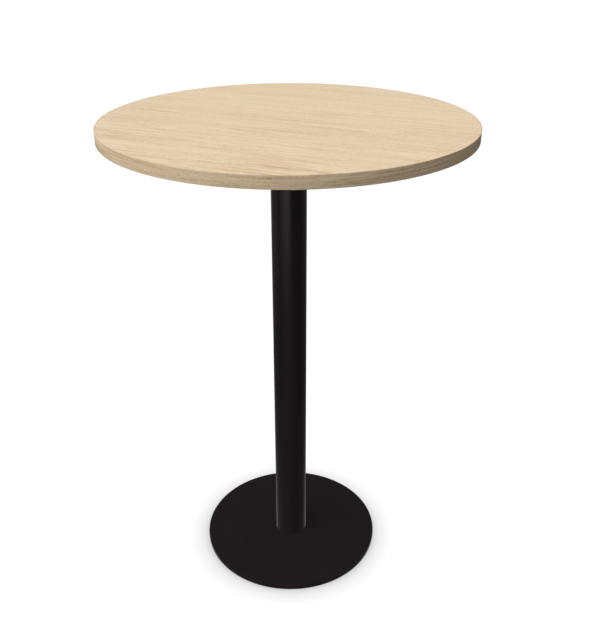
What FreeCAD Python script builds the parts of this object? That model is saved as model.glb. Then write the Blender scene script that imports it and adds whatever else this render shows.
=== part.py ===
"""Round bar table: a veneered round top on a steel tube column and a round steel base plate.

Millimetres, +Z up. The origin is on the floor, on the column's axis. Every piece is drawn from its own
lower face at z = 0 and then put in its place.
"""

import FreeCAD, Part
import Sketcher
import os

SIZES = {
    # Whole table
    "table_height": 1125,  # floor to the upper face of the top
    # Top
    "top_diameter": 800,
    "top_thickness": 25,
    "veneer_thickness": 0.6,
    "edge_band_width": 2,  # measured towards the middle of the top
    "edge_band_rounding": 0.2,
    "glue_gap": 0.05,  # core to edge band
    # Square plate that carries the top
    "plate_side": 260,
    "plate_thickness": 6,
    "plate_corner_radius": 20,
    "plate_hole_inset": 20,  # side of the plate to the centre of a corner hole
    # Button head screws that hold the top, with their washers and inserts
    "fixing_thread": 6,
    "fixing_tip_gap": 1.6,  # tip of a screw to the far end of its insert
    "fixing_head_diameter": 10.5,
    "fixing_head_height": 3.3,
    "fixing_head_land": 1.1,  # straight side of the head, under its dome
    "fixing_key": 4,  # across the flats of the socket
    "fixing_key_depth": 2,
    "washer_diameter": 14,
    "washer_thickness": 1.6,
    "washer_play": 0.2,
    "insert_diameter": 11,
    "insert_length": 14,
    "insert_end_gap": 1,
    # Column
    "column_diameter": 80,
    "column_wall": 2,
    "boss_height": 15,
    "weld_gap": 0.1,  # boss to the bore of the tube
    # Countersunk screws at both ends of the column
    "boss_screw_count": 4,
    "boss_screw_inset": 15,  # bore of the tube to the axis of a screw
    "boss_screw_reach": 12.2,  # thread inside the boss
    "boss_thread": 8,
    "boss_head_diameter": 16,
    "boss_head_rim": 0.4,
    "boss_head_sink": 0.2,  # head below the face of its plate
    "boss_key": 5,
    "boss_key_depth": 2.7,
    # Base plate
    "base_diameter": 450,
    "base_thickness": 8,
    "base_edge_rounding": 0.3,
    # Levelling glides
    "glide_inset": 25,  # rim of the base plate to the axis of a glide
    "glide_pad_wall": 4.7,  # pad outside the head of its stud
    "glide_pad_rounding": 0.6,
    "glide_sole": 0.9,  # pad below the head of its stud
    "glide_lip": 0.9,  # pad above the head of its stud
    "glide_head_diameter": 16,
    "glide_head_thickness": 1.1,
    "glide_play": 0.3,  # stud to pad, all round
    "glide_float": 0.05,  # stud to pad, up and down
    "glide_thread": 8,
    "glide_cover": 1.5,  # steel left above a tapped hole
    "glide_tip_gap": 0.5,
    "glide_key": 4,
    "glide_key_depth": 3.5,
    # Fits that all screws share
    "hole_play": 0.5,  # screw to a plain hole
    "seat_play": 0.05,  # countersunk head to its seat
    "thread_play": 0.05,  # screw to a tapped hole
    "tip_chamfer": 0.8,
}

GLIDE_ANGLES = {1: 0, 2: 90, 3: 180, 4: 270}
CORNERS_OF_SQUARE = "4"
SAME_LENGTH = 1e-6  # lengths closer than this count as equal

# Places that several pieces share
CORE_RADIUS = "(sizes.top_diameter / 2 - sizes.edge_band_width - sizes.glue_gap)"
TOP_UNDERSIDE = "(sizes.table_height - sizes.top_thickness)"
PLATE_UNDERSIDE = f"({TOP_UNDERSIDE} - sizes.plate_thickness)"
GLIDE_HEAD_SPACE = "(sizes.glide_head_thickness + 2 * sizes.glide_float)"
PAD_HEIGHT = f"(sizes.glide_sole + {GLIDE_HEAD_SPACE} + sizes.glide_lip)"
BASE_UPPER = f"({PAD_HEIGHT} + sizes.base_thickness)"
BORE_RADIUS = "(sizes.column_diameter / 2 - sizes.column_wall)"
BOSS_SCREW_CIRCLE = f"({BORE_RADIUS} - sizes.boss_screw_inset)"
FIXING_OFFSET = "(sizes.plate_side / 2 - sizes.plate_hole_inset)"
GLIDE_CIRCLE = "(sizes.base_diameter / 2 - sizes.glide_inset)"
GLIDE_HOLE_DEPTH = "(sizes.base_thickness - sizes.glide_cover)"
INSERT_RADIUS = "sizes.insert_diameter / 2"

doc = FreeCAD.newDocument("bar_table")
sheet = doc.addObject("Spreadsheet::Sheet", "sizes")
for row, (size_name, size_value) in enumerate(SIZES.items(), start=1):
    sheet.set(f"A{row}", size_name)
    sheet.set(f"B{row}", str(size_value))
    sheet.setAlias(f"B{row}", size_name)
doc.recompute()


def number(expression):
    """Present value of an expression."""
    return float(sheet.evalExpression(expression))


# Sketches


def new_body(label):
    body = doc.addObject("PartDesign::Body", label)
    body.Label = label
    return body


def origin_feature(body, role):
    return next(feature for feature in body.Origin.OriginFeatures if feature.Role == role)


def new_sketch(body, name, role):
    sketch = body.newObject("Sketcher::SketchObject", f"{body.Name}_{name}")
    sketch.AttachmentSupport = [(origin_feature(body, role), "")]
    sketch.MapMode = "FlatFace"
    return sketch


def pin(sketch, geometry, point, spot):
    """Tie one point of a sketch to a pair of expressions."""
    for kind, axis, expression in zip(("DistanceX", "DistanceY"), (-2, -1), spot):
        if expression == "0":
            sketch.addConstraint(Sketcher.Constraint("PointOnObject", geometry, point, axis))
            continue
        distance = Sketcher.Constraint(kind, -1, 1, geometry, point, number(expression))
        index = sketch.addConstraint(distance)
        sketch.setExpression(f"Constraints[{index}]", expression)


def draw_line(sketch, start, end, construction=False):
    ends = [FreeCAD.Vector(number(x), number(y), 0) for x, y in (start, end)]
    return sketch.addGeometry(Part.LineSegment(*ends), construction)


def draw_outline(sketch, corners):
    """Closed outline of straight lines, each corner a pair of expressions."""
    following = corners[1:] + corners[:1]
    lines = [draw_line(sketch, start, end) for start, end in zip(corners, following)]
    for line, next_line in zip(lines, lines[1:] + lines[:1]):
        sketch.addConstraint(Sketcher.Constraint("Coincident", line, 2, next_line, 1))
    for line, corner in zip(lines, corners):
        pin(sketch, line, 1, corner)


def draw_circle(sketch, radius, centre=("0", "0")):
    middle = FreeCAD.Vector(number(centre[0]), number(centre[1]), 0)
    circle = Part.Circle(middle, FreeCAD.Vector(0, 0, 1), number(radius))
    geometry = sketch.addGeometry(circle, False)
    pin(sketch, geometry, 3, centre)
    index = sketch.addConstraint(Sketcher.Constraint("Radius", geometry, number(radius)))
    sketch.setExpression(f"Constraints[{index}]", radius)


def draw_hexagon(sketch, across_flats, centre_x):
    corners = []
    for corner in range(6):
        angle = 30 + 60 * corner
        reach = f"{across_flats} / 2 / cos(30)"
        corners.append((f"{centre_x} + {reach} * cos({angle})", f"{reach} * sin({angle})"))
    draw_outline(sketch, corners)


# Features


def pad(body, name, length, circles=(), outline=None):
    sketch = new_sketch(body, f"{name}_sketch", "XY_Plane")
    for circle in circles:
        draw_circle(sketch, *circle)
    if outline:
        draw_outline(sketch, outline)
    feature = body.newObject("PartDesign::Pad", f"{body.Name}_{name}")
    feature.Profile = sketch
    feature.setExpression("Length", length)
    return feature


def turned(body, name, kind, corners, centre="0"):
    """Turn an outline of (radius, height) pairs about an upright axis at x = centre."""
    sketch = new_sketch(body, f"{name}_sketch", "XZ_Plane")
    shifted = [(radius if centre == "0" else f"{centre} + {radius}", height) for radius, height in corners]
    draw_outline(sketch, shifted)
    axis = "V_Axis"
    if centre != "0":
        foot = (centre, "0")
        head = (centre, max((height for radius, height in corners), key=number))
        line = draw_line(sketch, foot, head, construction=True)
        pin(sketch, line, 1, foot)
        pin(sketch, line, 2, head)
        axis = "Axis0"
    before = body.Tip
    feature = body.newObject(f"PartDesign::{kind}", f"{body.Name}_{name}")
    feature.Profile = sketch
    feature.ReferenceAxis = (sketch, [axis])
    feature.Angle = 360
    if kind == "Groove":
        confirm_cut(before, feature)
    return feature


def pocket_upwards(body, name, depth, draw):
    """Cut a drawn shape upwards from z = 0, by a depth or, with no depth, right through."""
    sketch = new_sketch(body, f"{name}_sketch", "XY_Plane")
    draw(sketch)
    before = body.Tip
    feature = body.newObject("PartDesign::Pocket", f"{body.Name}_{name}")
    feature.Profile = sketch
    feature.Reversed = True
    if depth is None:
        feature.Type = "ThroughAll"
    else:
        feature.setExpression("Length", depth)
    confirm_cut(before, feature)
    return feature


def confirm_cut(before, feature):
    doc.recompute()
    if not feature.Shape.Volume < before.Shape.Volume:
        raise RuntimeError(f"{feature.Name} cuts nothing")


def repeat_round_axis(body, name, count, features=None):
    """Repeat features, or with none given the whole piece, evenly about the upright axis."""
    pattern = body.newObject("PartDesign::PolarPattern", f"{body.Name}_{name}")
    if features:
        pattern.Originals = features
    else:
        pattern.TransformMode = "Whole shape"
    pattern.Axis = (origin_feature(body, "Z_Axis"), [""])
    pattern.Angle = 360
    pattern.setExpression("Occurrences", count)
    body.Tip = pattern
    doc.recompute()
    return pattern


def round_edges(body, name, radius, wanted):
    """Round those edges of the last feature for which wanted(edge) is true."""
    doc.recompute()
    base = body.Tip
    edges = [f"Edge{i}" for i, edge in enumerate(base.Shape.Edges, start=1) if wanted(edge)]
    fillet = body.newObject("PartDesign::Fillet", f"{body.Name}_{name}")
    fillet.Base = (base, edges)
    fillet.setExpression("Radius", radius)
    body.Tip = fillet
    doc.recompute()
    return fillet


def is_rim(edge, radius, height=None):
    """True for a circle of that radius about the upright axis, at that height if one is given."""
    if not isinstance(edge.Curve, Part.Circle):
        return False
    level = True if height is None else abs(edge.Curve.Center.z - number(height)) < SAME_LENGTH
    return level and abs(edge.Curve.Radius - number(radius)) < SAME_LENGTH


def is_upright(edge):
    first, last = edge.Vertexes[0].Point, edge.Vertexes[-1].Point
    return isinstance(edge.Curve, Part.Line) and abs(last.z - first.z) > SAME_LENGTH


def place(body, height, x="0", y="0"):
    body.setExpression("Placement.Base.x", x)
    body.setExpression("Placement.Base.y", y)
    body.setExpression("Placement.Base.z", height)
    return body


# Top


def make_top_core():
    body = new_body("top_core")
    pad(body, "disc", "sizes.top_thickness - 2 * sizes.veneer_thickness", [(CORE_RADIUS,)])
    doc.recompute()
    depth = "sizes.insert_length + sizes.insert_end_gap - sizes.veneer_thickness"
    repeat_round_axis(body, "insert_holes", CORNERS_OF_SQUARE, [insert_hole(body, depth)])
    return place(body, f"{TOP_UNDERSIDE} + sizes.veneer_thickness")


def insert_hole(body, depth):
    radius = f"{INSERT_RADIUS} + sizes.glue_gap"
    centre = (FIXING_OFFSET, FIXING_OFFSET)
    return pocket_upwards(body, "insert_hole", depth, lambda sketch: draw_circle(sketch, radius, centre))


def make_top_veneer():
    body = new_body("top_veneer")
    pad(body, "sheet", "sizes.veneer_thickness", [(CORE_RADIUS,)])
    return place(body, "sizes.table_height - sizes.veneer_thickness")


def make_underside_veneer():
    body = new_body("underside_veneer")
    pad(body, "sheet", "sizes.veneer_thickness", [(CORE_RADIUS,)])
    doc.recompute()
    repeat_round_axis(body, "insert_holes", CORNERS_OF_SQUARE, [insert_hole(body, None)])
    return place(body, TOP_UNDERSIDE)


def make_edge_band():
    body = new_body("edge_band")
    outside = "sizes.top_diameter / 2"
    inside = f"{outside} - sizes.edge_band_width"
    pad(body, "ring", "sizes.top_thickness", [(outside,), (inside,)])
    round_edges(body, "arrises", "sizes.edge_band_rounding", lambda edge: is_rim(edge, outside))
    return place(body, TOP_UNDERSIDE)


# What holds the top


def make_ring_group(label, length, outside, inside, height):
    """One short tube at each corner of the square plate."""
    body = new_body(label)
    centre = (FIXING_OFFSET, FIXING_OFFSET)
    pad(body, "tube", length, [(outside, centre), (inside, centre)])
    repeat_round_axis(body, "corners", CORNERS_OF_SQUARE)
    return place(body, height)


def make_threaded_inserts():
    inside = "sizes.fixing_thread / 2 + sizes.thread_play"
    return make_ring_group("threaded_inserts", "sizes.insert_length", INSERT_RADIUS, inside, TOP_UNDERSIDE)


def make_top_fixing_washers():
    outside = "sizes.washer_diameter / 2"
    inside = "sizes.fixing_thread / 2 + sizes.washer_play"
    height = f"{PLATE_UNDERSIDE} - sizes.washer_thickness"
    return make_ring_group("top_fixing_washers", "sizes.washer_thickness", outside, inside, height)


def make_top_fixing_screws():
    """Button head screws, head down, drawn on the X axis and turned to the corners of the plate."""
    body = new_body("top_fixing_screws")
    head = "sizes.fixing_head_diameter / 2"
    thread = "sizes.fixing_thread / 2"
    clamped = "sizes.fixing_head_height + sizes.washer_thickness + sizes.plate_thickness"
    tip = f"({clamped} + sizes.insert_length - sizes.fixing_tip_gap)"
    corners = [
        ("0", "0"),
        (head, "0"),
        (head, "sizes.fixing_head_height"),
        (thread, "sizes.fixing_head_height"),
        (thread, f"{tip} - sizes.tip_chamfer"),
        (f"{thread} - sizes.tip_chamfer", tip),
        ("0", tip),
    ]
    centre = f"{FIXING_OFFSET} * sqrt(2)"
    turned(body, "screw", "Revolution", corners, centre)
    dome = "sizes.fixing_head_height - sizes.fixing_head_land"
    round_edges(body, "dome", dome, lambda edge: is_rim(edge, head, "0"))
    pocket_upwards(
        body,
        "socket",
        "sizes.fixing_key_depth",
        lambda sketch: draw_hexagon(sketch, "sizes.fixing_key", centre),
    )
    repeat_round_axis(body, "corners", CORNERS_OF_SQUARE)
    body.setExpression("Placement.Rotation.Angle", "45")
    head_face = f"{PLATE_UNDERSIDE} - sizes.washer_thickness - sizes.fixing_head_height"
    return place(body, head_face)


def make_top_plate():
    body = new_body("top_plate")
    half = "sizes.plate_side / 2"
    square = [(f"-{half}", f"-{half}"), (half, f"-{half}"), (half, half), (f"-{half}", half)]
    pad(body, "square", "sizes.plate_thickness", outline=square)
    round_edges(body, "corners", "sizes.plate_corner_radius", is_upright)
    radius = "sizes.fixing_thread / 2 + sizes.hole_play"
    centre = (FIXING_OFFSET, FIXING_OFFSET)
    hole = pocket_upwards(body, "hole", None, lambda sketch: draw_circle(sketch, radius, centre))
    repeat_round_axis(body, "holes", CORNERS_OF_SQUARE, [hole])
    cut_countersunk_holes(body, "sizes.plate_thickness", from_above=True)
    return place(body, PLATE_UNDERSIDE)


# Countersunk screws


def cut_countersunk_holes(body, thickness, from_above):
    """Holes with 90 degree seats for the screws that enter a boss."""
    seat = "(sizes.boss_head_diameter / 2 + sizes.seat_play)"
    hole = "(sizes.boss_thread / 2 + sizes.hole_play)"
    near, far = "0", thickness
    rim = "(sizes.boss_head_sink + sizes.boss_head_rim)"
    throat = f"({rim} + {seat} - {hole})"
    if from_above:
        near, far = far, near
        rim = f"{thickness} - {rim}"
        throat = f"{thickness} - {throat}"
    profile = [("0", near), (seat, near), (seat, rim), (hole, throat), (hole, far), ("0", far)]
    groove = turned(body, "countersunk_hole", "Groove", profile, BOSS_SCREW_CIRCLE)
    repeat_round_axis(body, "countersunk_holes", "sizes.boss_screw_count", [groove])


def make_countersunk_screws(label, plate_thickness):
    """Screws drawn with the face of the head at z = 0 and the thread upwards."""
    body = new_body(label)
    head = "sizes.boss_head_diameter / 2"
    thread = "sizes.boss_thread / 2"
    tip = f"({plate_thickness} - sizes.boss_head_sink + sizes.boss_screw_reach)"
    corners = [
        ("0", "0"),
        (head, "0"),
        (head, "sizes.boss_head_rim"),
        (thread, f"sizes.boss_head_rim + {head} - {thread}"),
        (thread, f"{tip} - sizes.tip_chamfer"),
        (f"{thread} - sizes.tip_chamfer", tip),
        ("0", tip),
    ]
    turned(body, "screw", "Revolution", corners, BOSS_SCREW_CIRCLE)
    doc.recompute()
    pocket_upwards(
        body,
        "socket",
        "sizes.boss_key_depth",
        lambda sketch: draw_hexagon(sketch, "sizes.boss_key", BOSS_SCREW_CIRCLE),
    )
    repeat_round_axis(body, "circle", "sizes.boss_screw_count")
    return body


def make_head_screws():
    body = make_countersunk_screws("head_screws", "sizes.plate_thickness")
    body.Placement = FreeCAD.Placement(FreeCAD.Vector(), FreeCAD.Rotation(FreeCAD.Vector(1, 0, 0), 180))
    return place(body, f"{TOP_UNDERSIDE} - sizes.boss_head_sink")


def make_foot_screws():
    body = make_countersunk_screws("foot_screws", "sizes.base_thickness")
    return place(body, f"{PAD_HEIGHT} + sizes.boss_head_sink")


# Column


def make_column_tube():
    body = new_body("column_tube")
    pad(body, "tube", f"{PLATE_UNDERSIDE} - {BASE_UPPER}", [("sizes.column_diameter / 2",), (BORE_RADIUS,)])
    return place(body, BASE_UPPER)


def make_boss(label, height):
    """Disc in an end of the tube, with a tapped hole for each screw."""
    body = new_body(label)
    pad(body, "disc", "sizes.boss_height", [(f"{BORE_RADIUS} - sizes.weld_gap",)])
    doc.recompute()
    radius = "sizes.boss_thread / 2 + sizes.thread_play"
    centre = (BOSS_SCREW_CIRCLE, "0")
    hole = pocket_upwards(body, "hole", None, lambda sketch: draw_circle(sketch, radius, centre))
    repeat_round_axis(body, "holes", "sizes.boss_screw_count", [hole])
    return place(body, height)


# Base


def make_base_plate():
    body = new_body("base_plate")
    rim = "sizes.base_diameter / 2"
    pad(body, "disc", "sizes.base_thickness", [(rim,)])
    round_edges(body, "edges", "sizes.base_edge_rounding", lambda edge: is_rim(edge, rim))
    cut_countersunk_holes(body, "sizes.base_thickness", from_above=False)
    radius = "sizes.glide_thread / 2 + sizes.thread_play"
    centre = (GLIDE_CIRCLE, "0")
    hole = pocket_upwards(
        body, "glide_hole", GLIDE_HOLE_DEPTH, lambda sketch: draw_circle(sketch, radius, centre)
    )
    repeat_round_axis(body, "glide_holes", str(len(GLIDE_ANGLES)), [hole])
    return place(body, PAD_HEIGHT)


def place_glide(body, angle, height):
    return place(body, height, f"{GLIDE_CIRCLE} * cos({angle})", f"{GLIDE_CIRCLE} * sin({angle})")


def make_glide_pad(index, angle):
    """Nylon pad that clips round the head of its stud, open below for the key."""
    body = new_body(f"glide_pad_{index}")
    key_hole = "sizes.glide_key / 2 / cos(30) + sizes.glide_play"
    neck = "sizes.glide_thread / 2 + sizes.glide_play"
    groove = "sizes.glide_head_diameter / 2 + sizes.glide_play"
    groove_roof = f"sizes.glide_sole + {GLIDE_HEAD_SPACE}"
    rim = f"{groove} + sizes.glide_pad_wall"
    corners = [
        (key_hole, "0"),
        (rim, "0"),
        (rim, PAD_HEIGHT),
        (neck, PAD_HEIGHT),
        (neck, groove_roof),
        (groove, groove_roof),
        (groove, "sizes.glide_sole"),
        (key_hole, "sizes.glide_sole"),
    ]
    turned(body, "pad", "Revolution", corners)
    round_edges(body, "rim", "sizes.glide_pad_rounding", lambda edge: is_rim(edge, rim, "0"))
    return place_glide(body, angle, "0")


def make_glide_stud(index, angle):
    """Threaded stud with a flat head, drawn from the underside of the head."""
    body = new_body(f"glide_stud_{index}")
    head = "sizes.glide_head_diameter / 2"
    thread = "sizes.glide_thread / 2"
    head_face = "(sizes.glide_sole + sizes.glide_float)"
    tip = f"({PAD_HEIGHT} + {GLIDE_HOLE_DEPTH} - sizes.glide_tip_gap - {head_face})"
    corners = [
        ("0", "0"),
        (head, "0"),
        (head, "sizes.glide_head_thickness"),
        (thread, "sizes.glide_head_thickness"),
        (thread, f"{tip} - sizes.tip_chamfer"),
        (f"{thread} - sizes.tip_chamfer", tip),
        ("0", tip),
    ]
    turned(body, "stud", "Revolution", corners)
    doc.recompute()
    pocket_upwards(
        body,
        "socket",
        "sizes.glide_key_depth",
        lambda sketch: draw_hexagon(sketch, "sizes.glide_key", "0"),
    )
    return place_glide(body, angle, head_face)


pieces = [
    make_top_core(),
    make_top_veneer(),
    make_underside_veneer(),
    make_edge_band(),
    make_threaded_inserts(),
    make_top_fixing_washers(),
    make_top_fixing_screws(),
    make_top_plate(),
    make_head_screws(),
    make_foot_screws(),
    make_column_tube(),
    make_boss("column_head_boss", f"{PLATE_UNDERSIDE} - sizes.boss_height"),
    make_boss("column_foot_boss", BASE_UPPER),
    make_base_plate(),
]
for glide, glide_angle in GLIDE_ANGLES.items():
    pieces.append(make_glide_pad(glide, glide_angle))
    pieces.append(make_glide_stud(glide, glide_angle))
doc.recompute()

for thing in doc.Objects:
    if "Invalid" in thing.State or "Error" in thing.State:
        raise RuntimeError(f"{thing.Name} failed: {thing.State}")
for piece in pieces:
    if piece.Shape.isNull() or not piece.Shape.isValid() or not piece.Shape.Solids:
        raise RuntimeError(f"{piece.Label} has no valid solid")

os.makedirs("parts", exist_ok=True)
for piece in pieces:
    piece.Shape.exportStep(f"parts/{piece.Label}.step")
    low, high = piece.Shape.BoundBox.ZMin, piece.Shape.BoundBox.ZMax
    count = len(piece.Shape.Solids)
    print(f"{piece.Label}: {count} solid(s), {piece.Shape.Volume:.1f} mm3, z {low:.2f} to {high:.2f}")
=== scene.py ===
import math

import bmesh
import bpy
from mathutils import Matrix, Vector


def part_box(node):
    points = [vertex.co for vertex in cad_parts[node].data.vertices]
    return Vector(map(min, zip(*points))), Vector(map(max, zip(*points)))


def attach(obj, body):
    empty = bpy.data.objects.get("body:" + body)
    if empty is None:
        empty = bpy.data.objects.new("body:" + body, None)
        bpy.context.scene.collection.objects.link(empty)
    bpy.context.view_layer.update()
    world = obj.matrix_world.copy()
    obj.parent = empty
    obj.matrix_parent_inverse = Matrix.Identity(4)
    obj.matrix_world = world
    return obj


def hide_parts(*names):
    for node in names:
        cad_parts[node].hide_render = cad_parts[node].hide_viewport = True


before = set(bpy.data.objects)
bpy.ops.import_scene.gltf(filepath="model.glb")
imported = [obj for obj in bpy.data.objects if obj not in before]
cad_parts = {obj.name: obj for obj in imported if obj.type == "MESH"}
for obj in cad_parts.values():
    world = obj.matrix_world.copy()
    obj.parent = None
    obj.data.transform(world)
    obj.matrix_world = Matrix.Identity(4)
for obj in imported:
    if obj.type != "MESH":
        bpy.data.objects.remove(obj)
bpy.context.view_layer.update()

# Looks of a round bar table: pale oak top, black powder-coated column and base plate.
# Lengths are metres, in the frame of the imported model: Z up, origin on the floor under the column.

scene = bpy.context.scene
MM = 0.001

# Camera of the photograph. The sensor's width goes with the picture's longer side, which is its height.
IMAGE_HEIGHT_PIXELS = 638
FOCAL_PIXELS = 773.78
SENSOR_WIDTH_IN_MM = 36.0
CAMERA_PLACE = (0.0, -1.641153, 1.502877)
CAMERA_PITCH_DOWN = math.radians(27.448)
CAMERA_TURN = math.radians(-0.857)

# Floor, plain far off and shaded near the base
FLOOR_RADIUS = 30.0
FLOOR_STEPS = 96
FLOOR_DROP = 0.05 * MM
FLOOR_WHITE = 1.03
SHADED_FLOOR_RADIUS = 0.35
SHADE_REACH = 0.06
SHADE_DEPTH = 0.53
SHADE_CURVE = 0.42
SHADE_SAMPLES = 64
# A spot of floor falls to black between these covered shares of its sky
COVERED_TO_BLACK = (0.45, 0.70)

# The room in pairs of direction and share. Azimuth is counted from +X and elevation from the horizon,
# in degrees. The light is even, but dimmer at the sides and behind, some way below the horizon.
ROOM_LIGHT = 0.125
ROOM_BY_AZIMUTH = ((-165, 0.5), (-130, 1.0), (-50, 0.9), (-20, 0.5))
ROOM_BY_ELEVATION = ((-40, 0.9), (-31, 0.5), (-26, 0.7), (-19, 0.9), (0, 1.0))

# What glows in the room beside the even light
GLOWS = {
    "lit floor close behind the table": {
        "strength": 0.15,
        "azimuth": ((30, 0.0), (55, 1.0), (125, 1.0), (150, 0.0)),
        "elevation": ((-41, 1.0), (-37, 0.2), (-34, 0.0)),
    },
    "narrow soft panel straight behind": {
        "strength": 0.8,
        "azimuth": ((57, 0.0), (82, 1.0), (98, 1.0), (123, 0.0)),
        "elevation": ((-22, 0.0), (-12, 1.0), (-3, 1.0), (7, 0.0)),
    },
    "faint soft panel to the left": {
        "strength": 0.1,
        "azimuth": ((-180, 1.0), (-172, 1.0), (-158, 0.0), (120, 0.0), (150, 0.35), (180, 1.0)),
        "elevation": ((-27, 0.0), (-20, 1.0), (5, 1.0), (15, 0.0)),
    },
    "broad soft panel to the front and left": {
        "strength": 0.75,
        "azimuth": ((-159, 0.0), (-140, 0.40), (-110, 0.95), (-93, 1.0), (-86, 0.55), (-72, 0.0)),
        "elevation": (
            (-28, 0.0), (-25, 0.08), (-22, 0.34), (-18, 0.82), (-15, 1.0), (5, 1.0), (20, 0.0),
        ),
    },
}

# Lamps: where the light comes from and how wide its source is, in degrees, and its strength
LAMPS = {
    "overhead_light": {"azimuth": -90, "elevation": 80, "spread": 50, "strength": 1.95},
    "key_light": {"azimuth": -160, "elevation": 38, "spread": 60, "strength": 2.32},
    "light_off_the_floor": {"azimuth": 0, "elevation": -90, "spread": 30, "strength": 1.0},
}

# Turned pieces
ROUND_TOP_STEPS = 360
ROUND_COLUMN_STEPS = 144
ARC_STEPS = 6
SHARP_EDGE = math.radians(40)
SAME_PLACE = 1e-7  # points closer than this are one
EDGE_BAND_WIDTH = 2.0 * MM
EDGE_BAND_ROUNDING = 0.2 * MM
EDGE_BAND_JOINT = 0.12 * MM
COLUMN_WALL = 2.0 * MM

# Noise and tones run from 0 to 1 about this mean
MEAN = 0.5

# Oak figure: the grain runs right and towards the viewer, with these darker and lighter growth bands.
# Each band is its place across the grain and its tone.
GRAIN_ANGLE = math.radians(23)
FIGURE_HALF_WIDTH = 0.4
GROWTH_BANDS = (
    (-0.400, 0.50), (-0.335, 0.25), (-0.296, 0.75), (-0.240, 0.30), (-0.155, 0.80),
    (-0.096, 0.20), (-0.060, 0.70), (-0.004, 0.05), (0.036, 0.95), (0.080, 0.55),
    (0.180, 0.95), (0.236, 0.55), (0.270, 0.95), (0.322, 0.40), (0.368, 0.90), (0.400, 0.50),
)
# The grain is strongest in the dark bands and at the front left: a range of tones and one of places
# across the grain, each with the contrast of the grain at its two ends
BAND_TONES = (0.1, 0.9)
BAND_CONTRAST = (1.35, 0.75)
FRONT_PLACES = (-0.30, -0.10)
FRONT_CONTRAST = (1.55, 0.90)
# Place along its strip of oak that comes to the front of the edge band
EDGE_STRIP_FRONT = 3.0
# The underside's sheet comes from another part of the log
UNDERSIDE_SHIFT = (3.0, 5.0, 0.0)

# Layers of the oak figure: cycles per metre along and across the grain, and the detail of the noise
OAK_LAYERS = {
    "wide": (1.1, 20.0, 1.0),
    "patches": (3.0, 8.0, 1.0),
    "streaks": (4.0, 90.0, 2.0),
    "lines": (5.0, 210.0, 2.0),
    "threads": (13.0, 380.0, 2.0),
    "flecks": (36.0, 260.0, 1.0),
    "fibres": (40.0, 1300.0, 2.0),
    "dashes": (110.0, 2200.0, 1.0),
}
CLOUDY_BANDS = (2.0, 60.0, 1.0)
CLOUDY_CONTRAST = 1.0
EDGE_STREAKS = (3.0, 130.0, 1.0)
EDGE_CONTRAST = 2.0
# Slow drift of the grain to one side and the other
DRIFT = (1.6, 7.0, 2.0)
DRIFT_REACH = 5.0 * MM

# Weights of the layers in the grain, and in the tone, roughness and height of the surface
GRAIN_WEIGHTS = {"streaks": 0.15, "lines": 0.54, "threads": 0.47, "flecks": 0.28}
TONE_WEIGHTS = {"bands": 0.13, "wide": 0.15, "grain": 1.0, "fibres": 0.20}
ROUGHNESS_WEIGHTS = {"fibres": 0.25, "pores": 0.10}
HEIGHT_WEIGHTS = {"fibres": 0.5, "pores": -0.6, "lines": 0.3}
OAK_ROUGHNESS = 0.56
# Contrast of the grain, patch by patch
PATCH_NOISE = (0.38, 0.62)
PATCH_CONTRAST = (0.6, 1.4)
# Pores are the lowest dashes. The shift makes more of them in the dark lines of early wood.
EARLY_WOOD_LINES = (0.40, 0.60)
EARLY_WOOD_SHIFT = (0.08, 0.0)
PORE_DASHES = (0.36, 0.30)

# Colours
OAK_DARK = (0.520, 0.370, 0.212)
OAK_MIDDLE = (0.735, 0.590, 0.410)
OAK_PALE = (0.857, 0.727, 0.546)
OAK_PORE = (0.68, 0.55, 0.40)
EDGE_TINT = (0.960, 0.934, 0.902)
COAT_DARK = (0.0082, 0.0053, 0.0062)
COAT_LIGHT = (0.0094, 0.0064, 0.0073)
COAT_GLOSS_TINT = (1.0, 0.96, 0.985, 1.0)
NYLON_DARK = (0.010, 0.010, 0.010)
NYLON_LIGHT = (0.016, 0.016, 0.016)
CHIP_DARK = (0.20, 0.12, 0.06)
CHIP_MIDDLE = (0.42, 0.29, 0.16)
CHIP_PALE = (0.60, 0.46, 0.29)
WHITE = (1.0, 1.0, 1.0, 1.0)

# Metals, each with its two tones, its mean roughness and the scale of its fine grain
METALS = {
    "plated_steel": {
        "dark": (0.52, 0.54, 0.56),
        "light": (0.70, 0.72, 0.74),
        "roughness": 0.34,
        "grain_scale": 2400.0,
    },
    "blackened_steel": {
        "dark": (0.020, 0.020, 0.020),
        "light": (0.045, 0.045, 0.045),
        "roughness": 0.42,
        "grain_scale": 2000.0,
    },
    "bare_steel": {
        "dark": (0.40, 0.39, 0.38),
        "light": (0.56, 0.55, 0.53),
        "roughness": 0.36,
        "grain_scale": 1500.0,
    },
}


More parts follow.
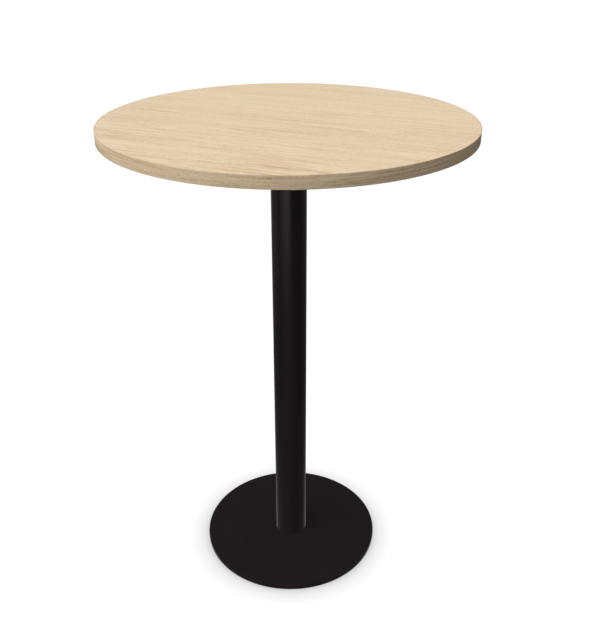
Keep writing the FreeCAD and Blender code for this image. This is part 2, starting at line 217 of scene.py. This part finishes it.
class Nodes:
    """A node tree with short calls that add a node and return its output."""

    def __init__(self, tree):
        self.tree = tree
        tree.nodes.clear()

    def add(self, kind, inputs=(), **settings):
        """Adds a node, then sets or links its inputs, given by name or number."""
        node = self.tree.nodes.new(kind)
        for name, value in settings.items():
            setattr(node, name, value)
        for name, value in dict(inputs).items():
            if isinstance(value, bpy.types.NodeSocket):
                self.tree.links.new(value, node.inputs[name])
            else:
                node.inputs[name].default_value = value
        return node

    def place(self):
        """The point on the piece, in metres."""
        return self.add("ShaderNodeTexCoord").outputs["Object"]

    def turned(self, vector, angle, shift):
        """The vector turned about Z, then shifted."""
        return self.add(
            "ShaderNodeMapping",
            {"Vector": vector, "Rotation": (0.0, 0.0, angle), "Location": shift},
        ).outputs[0]

    def noise(self, vector, detail, scale=1.0, roughness=0.5):
        return self.add(
            "ShaderNodeTexNoise",
            {"Vector": vector, "Scale": scale, "Detail": detail, "Roughness": roughness},
        ).outputs["Fac"]

    def grain(self, place, along, across, detail):
        """Noise drawn out along the grain, in cycles per metre along and across it."""
        return self.noise(self.product(place, (along, across, across)), detail=detail)

    def math(self, operation, first, second=0.0, third=0.0):
        return self.add(
            "ShaderNodeMath", {0: first, 1: second, 2: third}, operation=operation
        ).outputs[0]

    def scaled(self, value, low, high, to_low=0.0, to_high=1.0):
        """The value carried from one range to another, and kept inside it."""
        return self.add(
            "ShaderNodeMapRange",
            {"Value": value, 1: low, 2: high, 3: to_low, 4: to_high},
        ).outputs[0]

    def product(self, first, second):
        """Two colours or vectors, multiplied part by part."""
        return self.add(
            "ShaderNodeVectorMath", {0: first, 1: second}, operation="MULTIPLY"
        ).outputs[0]

    def weighted_sum(self, start, layers, weights):
        """start plus each layer times its weight. A layer at the mean adds nothing."""
        total = start
        for name, weight in weights.items():
            centred = self.math("SUBTRACT", layers[name], MEAN)
            total = self.math("MULTIPLY_ADD", centred, weight, total)
        return total

    def ramp(self, value, stops):
        """A colour for each place along 0 to 1."""
        node = self.add("ShaderNodeValToRGB", {"Fac": value})
        elements = node.color_ramp.elements
        while len(elements) < len(stops):
            elements.new(0.5)  # moved to its own place below
        for element, (position, colour) in zip(elements, stops):
            element.position = position
            element.color = (*colour, 1.0)
        return node.outputs["Color"]

    def two_tone(self, value, spread, dark, light):
        """A colour from dark to light over a spread of values about the mean."""
        return self.ramp(value, ((MEAN - spread / 2, dark), (MEAN + spread / 2, light)))

    def bump(self, height, distance, strength):
        return self.add(
            "ShaderNodeBump", {"Height": height, "Distance": distance, "Strength": strength}
        ).outputs[0]

    def surface(self, **inputs):
        """The main shader, wired to the output. Input names have _ for a space."""
        named = {name.replace("_", " "): value for name, value in inputs.items()}
        shader = self.add("ShaderNodeBsdfPrincipled", named)
        self.add("ShaderNodeOutputMaterial", {"Surface": shader.outputs[0]})


def new_material(name):
    material = bpy.data.materials.new(name)
    material.use_nodes = True
    return material, Nodes(material.node_tree)


def grey(value):
    return (value, value, value)


def times(first, second):
    return tuple(a * b for a, b in zip(first, second))


# Oak

def oak(name, grain_place, figure, tint=(1.0, 1.0, 1.0)):
    """Lacquered oak. grain_place gives metres along, across and into the grain;
    figure gives a tone for the wide growth bands and the contrast of the grain in them."""
    material, nodes = new_material(name)
    straight = grain_place(nodes)
    drift = nodes.grain(straight, *DRIFT)
    sideways = nodes.scaled(drift, 0.0, 1.0, -DRIFT_REACH, DRIFT_REACH)
    offset = nodes.add("ShaderNodeCombineXYZ", {"Y": sideways}).outputs[0]
    place = nodes.add("ShaderNodeVectorMath", {0: straight, 1: offset}, operation="ADD").outputs[0]
    layers = {layer: nodes.grain(place, *shape) for layer, shape in OAK_LAYERS.items()}

    layers["bands"], band_contrast = figure(nodes, place)
    patch_contrast = nodes.scaled(layers["patches"], *PATCH_NOISE, *PATCH_CONTRAST)
    contrast = nodes.math("MULTIPLY", patch_contrast, band_contrast)
    even_grain = nodes.weighted_sum(0.0, layers, GRAIN_WEIGHTS)
    layers["grain"] = nodes.math("MULTIPLY_ADD", even_grain, contrast, MEAN)
    tone = nodes.weighted_sum(MEAN, layers, TONE_WEIGHTS)
    colour = nodes.ramp(tone, ((0.0, OAK_DARK), (MEAN, OAK_MIDDLE), (1.0, OAK_PALE)))

    early_wood = nodes.scaled(layers["lines"], *EARLY_WOOD_LINES, *EARLY_WOOD_SHIFT)
    layers["pores"] = nodes.scaled(nodes.math("SUBTRACT", layers["dashes"], early_wood), *PORE_DASHES)
    pore_colour = nodes.ramp(layers["pores"], ((0.0, tint), (1.0, times(tint, OAK_PORE))))

    height = nodes.weighted_sum(MEAN, layers, HEIGHT_WEIGHTS)
    nodes.surface(
        Base_Color=nodes.product(colour, pore_colour),
        Roughness=nodes.weighted_sum(OAK_ROUGHNESS, layers, ROUGHNESS_WEIGHTS),
        Normal=nodes.bump(height, distance=0.05 * MM, strength=0.6),
    )
    return material


def over_the_face(shift=(0.0, 0.0, 0.0)):
    """Grain in straight lines over a flat face."""

    def grain_place(nodes):
        return nodes.turned(nodes.place(), GRAIN_ANGLE, shift)

    return grain_place


def round_the_rim(nodes):
    """Grain along the rim, from the joint at the back round to it again."""
    split = nodes.add("ShaderNodeSeparateXYZ", {0: nodes.place()}).outputs
    towards_viewer = nodes.math("MULTIPLY", split["Y"], -1.0)
    angle = nodes.math("ARCTAN2", split["X"], towards_viewer)
    along = nodes.math("MULTIPLY_ADD", angle, TOP_RADIUS, EDGE_STRIP_FRONT)
    flat = nodes.add("ShaderNodeCombineXYZ", {"X": split["X"], "Y": split["Y"]}).outputs[0]
    inwards = nodes.add("ShaderNodeVectorMath", {0: flat}, operation="LENGTH").outputs["Value"]
    return nodes.add(
        "ShaderNodeCombineXYZ", {"X": along, "Y": split["Z"], "Z": inwards}
    ).outputs[0]


def growth_bands(nodes, place):
    """Tone of the wide bands across the face, and the contrast of the grain in them."""
    across = nodes.add("ShaderNodeSeparateXYZ", {0: place}).outputs["Y"]
    share = nodes.scaled(across, -FIGURE_HALF_WIDTH, FIGURE_HALF_WIDTH)
    stops = [
        ((spot + FIGURE_HALF_WIDTH) / (2 * FIGURE_HALF_WIDTH), grey(tone))
        for spot, tone in GROWTH_BANDS
    ]
    tone = nodes.ramp(share, stops)
    in_dark_bands = nodes.scaled(tone, *BAND_TONES, *BAND_CONTRAST)
    at_the_front = nodes.scaled(across, *FRONT_PLACES, *FRONT_CONTRAST)
    return tone, nodes.math("MULTIPLY", in_dark_bands, at_the_front)


def cloudy_figure(nodes, place):
    """Tone of a piece whose wide bands follow no plan, with the grain as it is."""
    return nodes.grain(place, *CLOUDY_BANDS), CLOUDY_CONTRAST


def edge_figure(nodes, place):
    """Tone of the edging, cut from lively wood with long dark streaks."""
    return nodes.grain(place, *EDGE_STREAKS), EDGE_CONTRAST


# Coated and bare metal, nylon and board

def powder_coat(name):
    """Black satin powder coat with a faint orange peel."""
    material, nodes = new_material(name)
    place = nodes.place()
    peel = nodes.noise(place, scale=900.0, detail=1.0)
    cloud = nodes.noise(place, scale=14.0, detail=2.0)
    layers = {"peel": peel, "cloud": cloud}
    nodes.surface(
        Base_Color=nodes.two_tone(cloud, spread=0.4, dark=COAT_DARK, light=COAT_LIGHT),
        Roughness=nodes.weighted_sum(start=0.24, layers=layers, weights={"cloud": 0.05, "peel": 0.05}),
        Specular_IOR_Level=0.33,
        Specular_Tint=COAT_GLOSS_TINT,
        Coat_Weight=0.32,
        Coat_Roughness=0.10,
        Normal=nodes.bump(peel, distance=0.01 * MM, strength=0.4),
    )
    return material


def metal(name, dark, light, roughness, grain_scale):
    """A metal whose tone and roughness vary with a fine grain."""
    material, nodes = new_material(name)
    place = nodes.place()
    grain = nodes.noise(place, scale=grain_scale, detail=3.0, roughness=0.6)
    cloud = nodes.noise(place, scale=60.0, detail=2.0)
    layers = {"grain": grain, "cloud": cloud}
    tone = nodes.weighted_sum(MEAN, layers, {"grain": 0.6, "cloud": 0.8})
    nodes.surface(
        Base_Color=nodes.two_tone(tone, spread=0.6, dark=dark, light=light),
        Metallic=1.0,
        Roughness=nodes.weighted_sum(roughness, layers, {"grain": 0.18, "cloud": 0.12}),
        Normal=nodes.bump(grain, distance=0.01 * MM, strength=0.5),
    )
    return material


def nylon(name):
    """Moulded black nylon with a fine pebble."""
    material, nodes = new_material(name)
    place = nodes.place()
    pebble = nodes.noise(place, scale=1600.0, detail=2.0)
    cloud = nodes.noise(place, scale=120.0, detail=1.0)
    layers = {"pebble": pebble}
    nodes.surface(
        Base_Color=nodes.two_tone(cloud, spread=0.4, dark=NYLON_DARK, light=NYLON_LIGHT),
        Roughness=nodes.weighted_sum(start=0.52, layers=layers, weights={"pebble": 0.2}),
        Normal=nodes.bump(pebble, distance=0.03 * MM, strength=0.6),
    )
    return material


def particle_board(name):
    """Pressed wood chips in many shades of tan."""
    material, nodes = new_material(name)
    place = nodes.place()
    chips = nodes.add("ShaderNodeTexVoronoi", {"Vector": place, "Scale": 380.0, "Randomness": 1.0})
    shade = nodes.add("ShaderNodeSeparateXYZ", {0: chips.outputs["Color"]}).outputs["X"]
    layers = {"shade": shade, "fine": nodes.noise(place, scale=2200.0, detail=2.0)}
    tone = nodes.weighted_sum(MEAN, layers, {"shade": 0.7, "fine": 0.5})
    nodes.surface(
        Base_Color=nodes.ramp(tone, ((0.0, CHIP_DARK), (MEAN, CHIP_MIDDLE), (1.0, CHIP_PALE))),
        Roughness=nodes.weighted_sum(start=0.82, layers=layers, weights={"fine": 0.2}),
        Normal=nodes.bump(tone, distance=0.2 * MM, strength=0.5),
    )
    return material


# Meshes

def arc(centre, radius, start, end):
    """Points on an arc in the half plane of a turned profile, angles in degrees."""
    angles = [start + (end - start) * step / ARC_STEPS for step in range(ARC_STEPS + 1)]
    return [
        (centre[0] + radius * math.cos(math.radians(angle)),
         centre[1] + radius * math.sin(math.radians(angle)))
        for angle in angles
    ]


def turned_mesh(name, profile, steps, gap=0.0):
    """A closed profile of (radius, height) points turned about Z.
    With a gap, an angle, the ring stops short of closing at the back and gets two end faces."""
    mesh = bpy.data.meshes.new(name)
    work = bmesh.new()
    back = math.pi / 2
    count = steps + 1 if gap else steps
    sweep = 2 * math.pi - gap
    rings = []
    for step in range(count):
        angle = back + gap / 2 + sweep * step / steps
        spin = (math.cos(angle), math.sin(angle))
        rings.append([work.verts.new((r * spin[0], r * spin[1], z)) for r, z in profile])
    pairs = zip(rings, rings[1:] if gap else rings[1:] + rings[:1])
    for here, there in pairs:
        for index in range(len(profile)):
            after = (index + 1) % len(profile)
            corners = (here[index], there[index], there[after], here[after])
            work.faces.new(corners)
    if gap:
        work.faces.new(rings[0])
        work.faces.new(reversed(rings[-1]))
    bmesh.ops.remove_doubles(work, verts=work.verts, dist=SAME_PLACE)
    bmesh.ops.recalc_face_normals(work, faces=work.faces)
    work.to_mesh(mesh)
    work.free()
    mesh.shade_smooth()
    mesh.set_sharp_from_angle(angle=SHARP_EDGE)
    piece = bpy.data.objects.new(name, mesh)
    scene.collection.objects.link(piece)
    return piece


def stand_for(piece, node, body, slot_name):
    """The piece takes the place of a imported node."""
    piece.data.materials.append(finishes[slot_name])
    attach(piece, body)
    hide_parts(node)


top_low, top_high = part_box("edge_band")
veneer_low, veneer_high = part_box("top_veneer")
tube_low, tube_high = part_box("column_tube")
TOP_RADIUS = top_high.x

finishes = {
    "oak_face": oak("oak_face", over_the_face(), growth_bands),
    "oak_back": oak("oak_back", over_the_face(UNDERSIDE_SHIFT), cloudy_figure),
    "oak_edge": oak("oak_edge", round_the_rim, edge_figure, EDGE_TINT),
    "particle_board": particle_board("particle_board"),
    "black_powder_coat": powder_coat("black_powder_coat"),
    "black_nylon": nylon("black_nylon"),
}
for metal_name, look in METALS.items():
    finishes[metal_name] = metal(metal_name, **look)
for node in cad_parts.values():
    for slot in node.material_slots:
        slot.material = finishes[slot.material.name]


def edge_band_profile():
    inner = TOP_RADIUS - EDGE_BAND_WIDTH
    middle = TOP_RADIUS - EDGE_BAND_ROUNDING
    upper = arc((middle, top_high.z - EDGE_BAND_ROUNDING), EDGE_BAND_ROUNDING, 90, 0)
    lower = arc((middle, top_low.z + EDGE_BAND_ROUNDING), EDGE_BAND_ROUNDING, 0, -90)
    return [(inner, top_low.z), (inner, top_high.z), *upper, *lower]


def veneer_profile():
    radius = veneer_high.x
    return [(0.0, veneer_low.z), (0.0, veneer_high.z), (radius, veneer_high.z), (radius, veneer_low.z)]


def tube_profile():
    outer = tube_high.x
    inner = outer - COLUMN_WALL
    return [(inner, tube_low.z), (inner, tube_high.z), (outer, tube_high.z), (outer, tube_low.z)]


joint_angle = EDGE_BAND_JOINT / TOP_RADIUS
edge_band = turned_mesh("edge_band_strip", edge_band_profile(), ROUND_TOP_STEPS, joint_angle)
stand_for(edge_band, "edge_band", "table", "oak_edge")
veneer = turned_mesh("top_veneer_sheet", veneer_profile(), ROUND_TOP_STEPS)
stand_for(veneer, "top_veneer", "table", "oak_face")
column = turned_mesh("column_pipe", tube_profile(), ROUND_COLUMN_STEPS)
stand_for(column, "column_tube", "table", "black_powder_coat")
# The satin black column and base show the room in their gloss, and not each other.
inside_column = ("column_head_boss", "column_foot_boss", "head_screws", "foot_screws")
for name in ("base_plate", *inside_column):
    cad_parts[name].visible_glossy = False
column.visible_glossy = False


# Studio: camera, floor, room and lamps

def make_camera():
    camera = bpy.data.cameras.new("camera")
    camera.sensor_width = SENSOR_WIDTH_IN_MM
    camera.lens = FOCAL_PIXELS / IMAGE_HEIGHT_PIXELS * SENSOR_WIDTH_IN_MM
    holder = bpy.data.objects.new("camera", camera)
    holder.location = CAMERA_PLACE
    holder.rotation_euler = (math.pi / 2 - CAMERA_PITCH_DOWN, 0.0, CAMERA_TURN)
    scene.collection.objects.link(holder)
    scene.camera = holder


def floor_surface(nodes, light):
    """A glow of this strength, which is clear when seen from below."""
    glow = nodes.add("ShaderNodeEmission", {"Strength": light}).outputs[0]
    clear = nodes.add("ShaderNodeBsdfTransparent").outputs[0]
    below = nodes.add("ShaderNodeNewGeometry").outputs["Backfacing"]
    both = nodes.add("ShaderNodeMixShader", {0: below, 1: glow, 2: clear}).outputs[0]
    nodes.add("ShaderNodeOutputMaterial", {"Surface": both})


def plain_floor(name):
    material, nodes = new_material(name)
    floor_surface(nodes, FLOOR_WHITE)
    return material


def shaded_floor(name):
    """The white floor with a soft shade close to what stands on it, and black right under that."""
    material, nodes = new_material(name)
    open_sky = nodes.add(
        "ShaderNodeAmbientOcclusion", {"Distance": SHADE_REACH}, samples=SHADE_SAMPLES
    ).outputs["AO"]
    covered = nodes.math("SUBTRACT", 1.0, open_sky)
    shade = nodes.math("MULTIPLY", nodes.math("POWER", covered, SHADE_CURVE), SHADE_DEPTH)
    light = nodes.math("MULTIPLY", nodes.math("SUBTRACT", 1.0, shade), FLOOR_WHITE)
    under_the_plate = nodes.scaled(covered, *COVERED_TO_BLACK, 1.0, 0.0)
    floor_surface(nodes, nodes.math("MULTIPLY", light, under_the_plate))
    return material


def make_floor():
    """A white floor that glows evenly and darkens only where the base comes close to it."""
    mesh = bpy.data.meshes.new("floor")
    work = bmesh.new()
    inner = bmesh.ops.create_circle(work, cap_ends=True, segments=FLOOR_STEPS, radius=SHADED_FLOOR_RADIUS)
    outer = bmesh.ops.create_circle(work, segments=FLOOR_STEPS, radius=FLOOR_RADIUS)
    near, far = inner["verts"], outer["verts"]
    for step in range(len(near)):
        ring = work.faces.new((near[step - 1], near[step], far[step], far[step - 1]))
        ring.material_index = 1  # the plain floor, which is appended second
    bmesh.ops.recalc_face_normals(work, faces=work.faces)
    if work.faces[0].normal.z < 0:
        bmesh.ops.reverse_faces(work, faces=work.faces)
    work.to_mesh(mesh)
    work.free()
    floor = bpy.data.objects.new("floor", mesh)
    floor.location.z = -FLOOR_DROP
    scene.collection.objects.link(floor)
    mesh.materials.append(shaded_floor("floor_by_the_base"))
    mesh.materials.append(plain_floor("floor_white"))
    floor.visible_diffuse = False
    floor.visible_glossy = False
    floor.visible_shadow = False


def share_by_angle(nodes, angle, shares):
    """A share that runs straight between (degrees, share) pairs."""
    first, last = shares[0][0], shares[-1][0]
    along = nodes.scaled(angle, math.radians(first), math.radians(last))
    stops = [((degrees - first) / (last - first), grey(share)) for degrees, share in shares]
    return nodes.ramp(along, stops)


def make_room():
    """Even light from all sides and the glows, in front of a white backdrop."""
    world = bpy.data.worlds.new("room")
    world.use_nodes = True
    scene.world = world
    nodes = Nodes(world.node_tree)
    direction = nodes.add("ShaderNodeTexCoord").outputs["Generated"]
    split = nodes.add("ShaderNodeSeparateXYZ", {0: direction}).outputs
    azimuth = nodes.math("ARCTAN2", split["Y"], split["X"])
    elevation = nodes.math("ARCSINE", split["Z"])

    def share(operation, by_azimuth, by_elevation):
        return nodes.math(
            operation,
            share_by_angle(nodes, azimuth, by_azimuth),
            share_by_angle(nodes, elevation, by_elevation),
        )

    even = share("MAXIMUM", ROOM_BY_AZIMUTH, ROOM_BY_ELEVATION)
    strength = nodes.math("MULTIPLY", even, ROOM_LIGHT)
    for glow in GLOWS.values():
        lit = share("MULTIPLY", glow["azimuth"], glow["elevation"])
        strength = nodes.math("MULTIPLY_ADD", lit, glow["strength"], strength)
    light = nodes.add("ShaderNodeBackground", {"Color": WHITE, "Strength": strength})
    backdrop = nodes.add("ShaderNodeBackground", {"Color": WHITE, "Strength": FLOOR_WHITE})
    seen = nodes.add("ShaderNodeLightPath").outputs["Is Camera Ray"]
    both = nodes.add(
        "ShaderNodeMixShader", {0: seen, 1: light.outputs[0], 2: backdrop.outputs[0]}
    ).outputs[0]
    nodes.add("ShaderNodeOutputWorld", {"Surface": both})


def make_sun(name, azimuth, elevation, spread, strength):
    """A wide soft lamp that lights the pieces and isn't mirrored in their gloss."""
    lamp = bpy.data.lights.new(name, "SUN")
    lamp.energy = strength
    lamp.angle = math.radians(spread)
    holder = bpy.data.objects.new(name, lamp)
    holder.rotation_euler = (0.0, math.radians(90 - elevation), math.radians(azimuth))
    holder.visible_glossy = False
    scene.collection.objects.link(holder)


make_camera()
make_floor()
make_room()
for lamp_name, aim in LAMPS.items():
    make_sun(lamp_name, **aim)
scene.view_settings.view_transform = "Standard"
